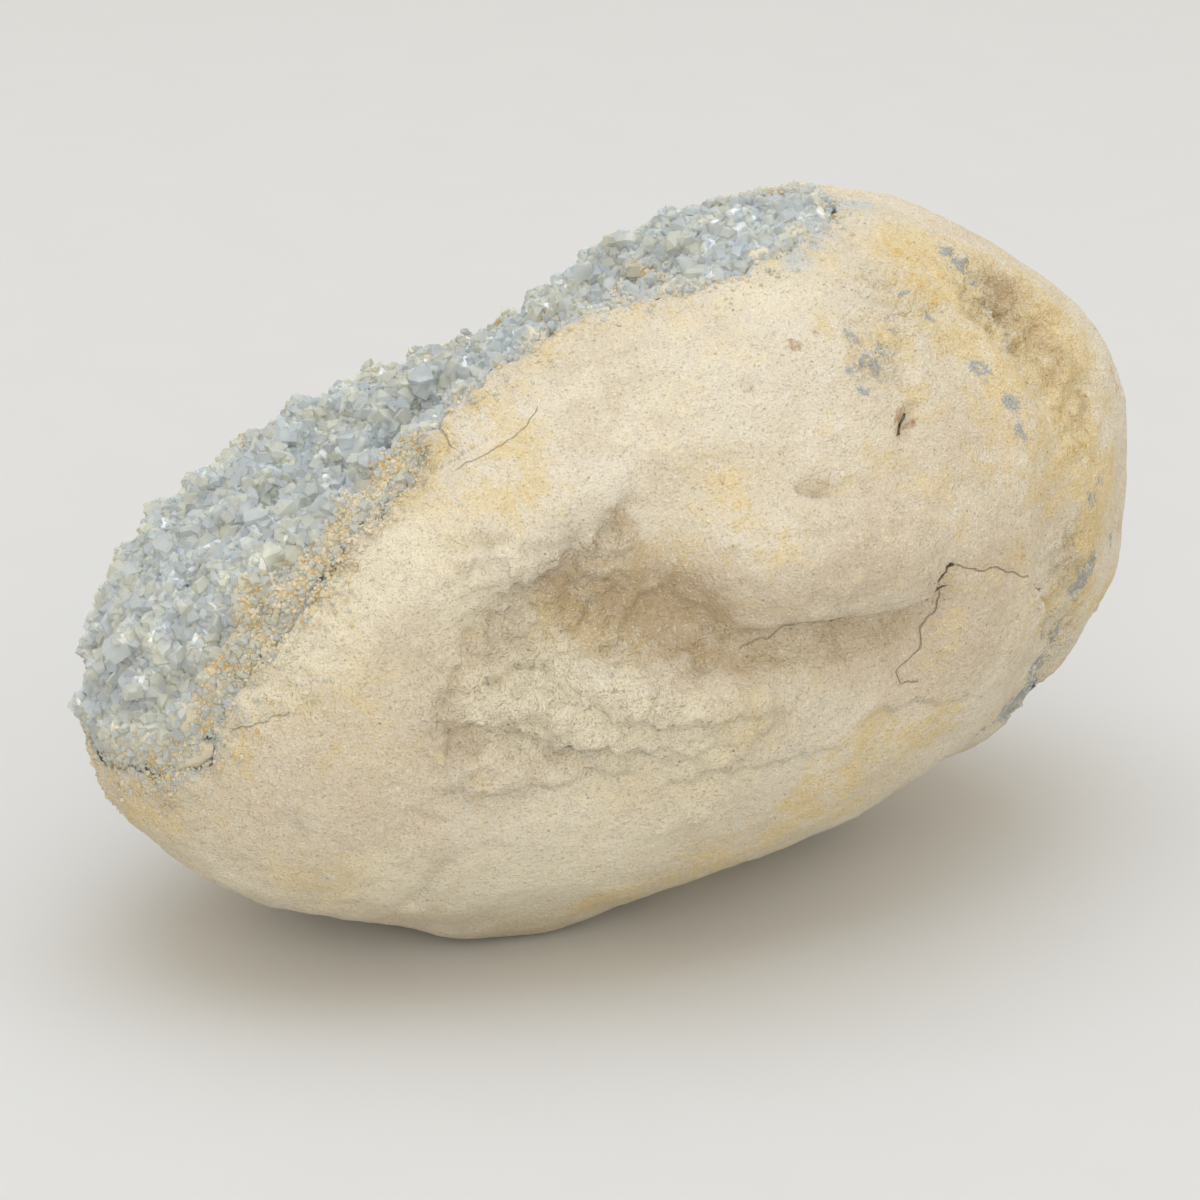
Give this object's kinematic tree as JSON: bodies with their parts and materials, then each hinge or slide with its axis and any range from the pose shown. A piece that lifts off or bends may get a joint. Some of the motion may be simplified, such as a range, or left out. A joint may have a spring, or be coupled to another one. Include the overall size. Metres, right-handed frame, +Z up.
{
  "type": "celestite geode",
  "caption": "Egg-shaped limestone nodule, broken open along its top and one end onto a long hollow lined with pale blue crystals. It rests on a small flat spot.",
  "frame": {"origin": "middle of the box's bottom, on the surface that the nodule rests on", "axes": "+Z up, +X along the nodule to its blunt end, -Y towards its broad closed side, with the ledges and cracks"},
  "size_m": [0.176, 0.1052, 0.1051],
  "materials": {
    "limestone": "cream chalky limestone, dry and matt, with ochre stains",
    "celestite": "pale blue-grey frosted translucent crystals"
  },
  "bodies": {
    "root": {"matrix": "limestone", "crystal_crust": "celestite"}
  },
  "joints": []
}
